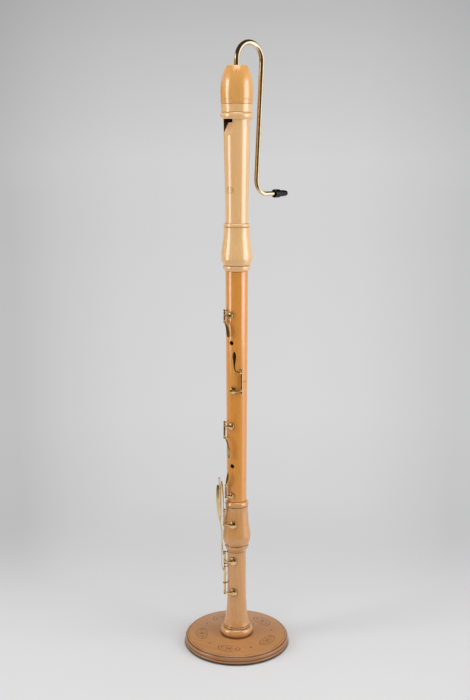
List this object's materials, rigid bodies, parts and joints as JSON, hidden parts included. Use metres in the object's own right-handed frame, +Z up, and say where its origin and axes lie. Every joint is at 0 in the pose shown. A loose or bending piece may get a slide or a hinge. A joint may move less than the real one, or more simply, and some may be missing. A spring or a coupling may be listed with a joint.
{
  "type": "great bass recorder",
  "caption": "Tall turned-wood great bass recorder with brass keys, a bent brass bocal and a black mouthpiece, set upright on the peg of a round wooden floor stand.",
  "frame": {"origin": "middle of the stand's underside, on the recorder's axis", "axes": "+Z up along the bore, -Y the side of the finger holes, +Y towards the player"},
  "size_m": [0.246, 0.2731, 1.3878],
  "materials": {
    "head_wood": "satin lacquered pale hardwood",
    "cap_wood": "satin lacquered hardwood, a little deeper in colour",
    "middle_wood": "satin lacquered honey-coloured hardwood",
    "foot_wood": "satin lacquered hardwood",
    "stand_wood": "satin oiled hardwood, brown",
    "block_wood": "bare cedar",
    "cork": "bare cork lapping",
    "felt": "dark felt",
    "brass": "polished and lacquered",
    "steel": "polished",
    "leather": "pale skin over felt",
    "black_plastic": "polished black"
  },
  "bodies": {
    "stand": {"stand_felt": "felt", "stand_disc": "stand_wood", "stand_peg": "stand_wood", "stand_screw": "steel"},
    "foot": {"foot_joint": "foot_wood", "key_6_low_rod": "steel", "key_6_low_post_low": "brass", "key_6_low_post_high": "brass", "key_6_low_spring": "steel", "key_7_rod": "steel", "key_7_post_low": "brass", "key_7_post_high": "brass", "key_7_spring": "steel", "key_7_low_rod": "steel", "key_7_low_post_low": "brass", "key_7_low_post_high": "brass", "key_7_low_post_guide": "brass", "key_7_low_spring": "steel"},
    "middle": {"middle_joint": "middle_wood", "strap_ring": "brass", "middle_upper_cork": "cork", "middle_lower_cork": "cork", "key_1_rod": "steel", "key_1_post_low": "brass", "key_1_post_high": "brass", "key_1_spring": "steel", "key_3_rod": "steel", "key_3_post_low": "brass", "key_3_post_high": "brass", "key_3_spring": "steel", "key_4_rod": "steel", "key_4_post_low": "brass", "key_4_post_high": "brass", "key_4_spring": "steel", "key_6_rod": "steel", "key_6_post_low": "brass", "key_6_post_high": "brass", "key_6_spring": "steel"},
    "head": {"head_joint": "head_wood", "block": "block_wood", "head_cork": "cork"},
    "cap": {"cap": "cap_wood", "bocal_cork": "cork"},
    "bocal": {"bocal_tube": "brass"},
    "mouthpiece": {"mouthpiece": "black_plastic"},
    "key_1": {"key_1_lever": "brass", "key_1_pad": "leather"},
    "key_3": {"key_3_lever": "brass", "key_3_pad": "leather"},
    "key_4": {"key_4_lever": "brass", "key_4_pad": "leather"},
    "key_6": {"key_6_lever": "brass", "key_6_pad": "leather"},
    "key_6_low": {"key_6_low_lever": "brass", "key_6_low_pad": "leather"},
    "key_7": {"key_7_lever": "brass", "key_7_pad": "leather"},
    "key_7_low": {"key_7_low_lever": "brass", "key_7_low_pad": "leather"}
  },
  "joints": [
    {"name": "foot_off_peg", "type": "slide", "parent": "stand", "child": "foot", "axis": [0, 0, 1], "range_m": [0, 0.12]},
    {"name": "middle_out_of_foot", "type": "slide", "parent": "foot", "child": "middle", "axis": [0, 0, 1], "range_m": [0, 0.045]},
    {"name": "head_off_middle", "type": "slide", "parent": "middle", "child": "head", "axis": [0, 0, 1], "range_m": [0, 0.05]},
    {"name": "cap_off_head", "type": "slide", "parent": "head", "child": "cap", "axis": [0, 0, 1], "range_m": [0, 0.042]},
    {"name": "bocal_turn", "type": "hinge", "parent": "cap", "child": "bocal", "pos_m": [0, 0, 1.33], "axis": [0, 0, 1], "continuous": true},
    {"name": "mouthpiece_off_bocal", "type": "slide", "parent": "bocal", "child": "mouthpiece", "axis": [0.309, 0.9511, 0], "range_m": [0, 0.018]},
    {"name": "key_1_press", "type": "hinge", "parent": "middle", "child": "key_1", "pos_m": [-0.01711, -0.02585, 0.79], "axis": [0, 0, 1], "range_deg": [0, 11.5], "stiffness_Nm_per_rad": 0.02, "springref_deg": -17.19},
    {"name": "key_3_press", "type": "hinge", "parent": "middle", "child": "key_3", "pos_m": [0.02269, -0.01838, 0.64], "axis": [0, 0, -1], "range_deg": [0, 9], "stiffness_Nm_per_rad": 0.02, "springref_deg": -17.19},
    {"name": "key_4_press", "type": "hinge", "parent": "middle", "child": "key_4", "pos_m": [-0.018, -0.02524, 0.526], "axis": [0, 0, 1], "range_deg": [0, 9.8], "stiffness_Nm_per_rad": 0.02, "springref_deg": -17.19},
    {"name": "key_6_press", "type": "hinge", "parent": "middle", "child": "key_6", "pos_m": [-0.01504, -0.02503, 0.38], "axis": [0, 0, 1], "range_deg": [0, 12.2], "stiffness_Nm_per_rad": 0.02, "springref_deg": -17.19},
    {"name": "key_6_low_press", "type": "hinge", "parent": "foot", "child": "key_6_low", "pos_m": [-0.01881, -0.02687, 0.316], "axis": [0, 0, 1], "range_deg": [0, 6.85], "stiffness_Nm_per_rad": 0.02, "springref_deg": -17.19},
    {"name": "key_7_press", "type": "hinge", "parent": "foot", "child": "key_7", "pos_m": [-0.01981, -0.02279, 0.214], "axis": [0, 0, 1], "range_deg": [0, 7.4], "stiffness_Nm_per_rad": 0.02, "springref_deg": -17.19},
    {"name": "key_7_low_press", "type": "hinge", "parent": "foot", "child": "key_7_low", "pos_m": [-0.01981, -0.02279, 0.158], "axis": [0, 0, 1], "range_deg": [0, 7.2], "stiffness_Nm_per_rad": 0.02, "springref_deg": -17.19}
  ]
}
